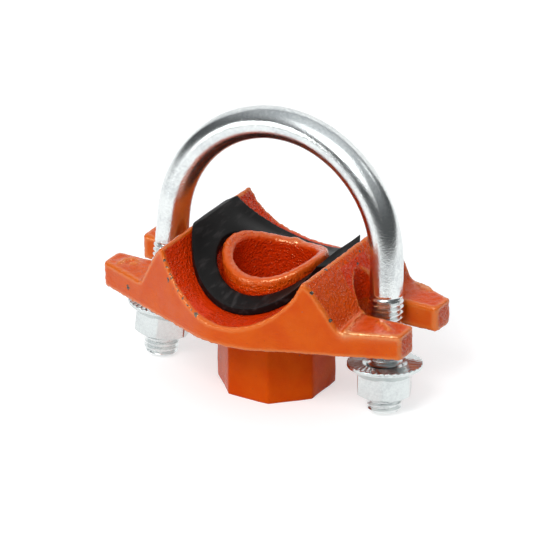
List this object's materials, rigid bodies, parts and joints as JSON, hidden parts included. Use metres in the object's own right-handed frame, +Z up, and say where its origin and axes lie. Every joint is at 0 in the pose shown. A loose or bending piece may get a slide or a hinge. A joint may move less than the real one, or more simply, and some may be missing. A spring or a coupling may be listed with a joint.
{
  "type": "u-bolt strap tee",
  "caption": "Strap-on tee for a run pipe: an orange cast saddle with a collar, a rubber gasket and an octagonal threaded outlet, held by a U-bolt with serrated flange nuts.",
  "frame": {"origin": "middle of the outlet's end face, which is the lowest face of the part", "axes": "+X runs across the part from the left leg of the U-bolt to the right one, +Y along the run pipe and +Z up, from the outlet to the arch"},
  "size_m": [0.099, 0.0628, 0.0827],
  "materials": {
    "housing_paint": "orange enamel over a rough ductile iron casting",
    "gasket_rubber": "matt black moulded rubber",
    "zinc_plate": "bright zinc plated steel"
  },
  "bodies": {
    "housing": {"housing": "housing_paint", "gasket": "gasket_rubber"},
    "u_bolt": {"u_bolt": "zinc_plate"},
    "nut_left": {"nut_left": "zinc_plate"},
    "nut_right": {"nut_right": "zinc_plate"}
  },
  "joints": [
    {"name": "u_bolt_slide", "type": "slide", "parent": "housing", "child": "u_bolt", "axis": [0, 0.1253, 0.9921], "range_m": [0, 0.0053]},
    {"name": "nut_left_spin", "type": "hinge", "parent": "u_bolt", "child": "nut_left", "pos_m": [-0.0374, -0.00238, 0.00682], "axis": [0.0489, 0.1252, 0.9909], "continuous": true},
    {"name": "nut_right_spin", "type": "hinge", "parent": "u_bolt", "child": "nut_right", "pos_m": [0.03748, -0.00258, 0.00524], "axis": [-0.0489, 0.1252, 0.9909], "continuous": true}
  ]
}
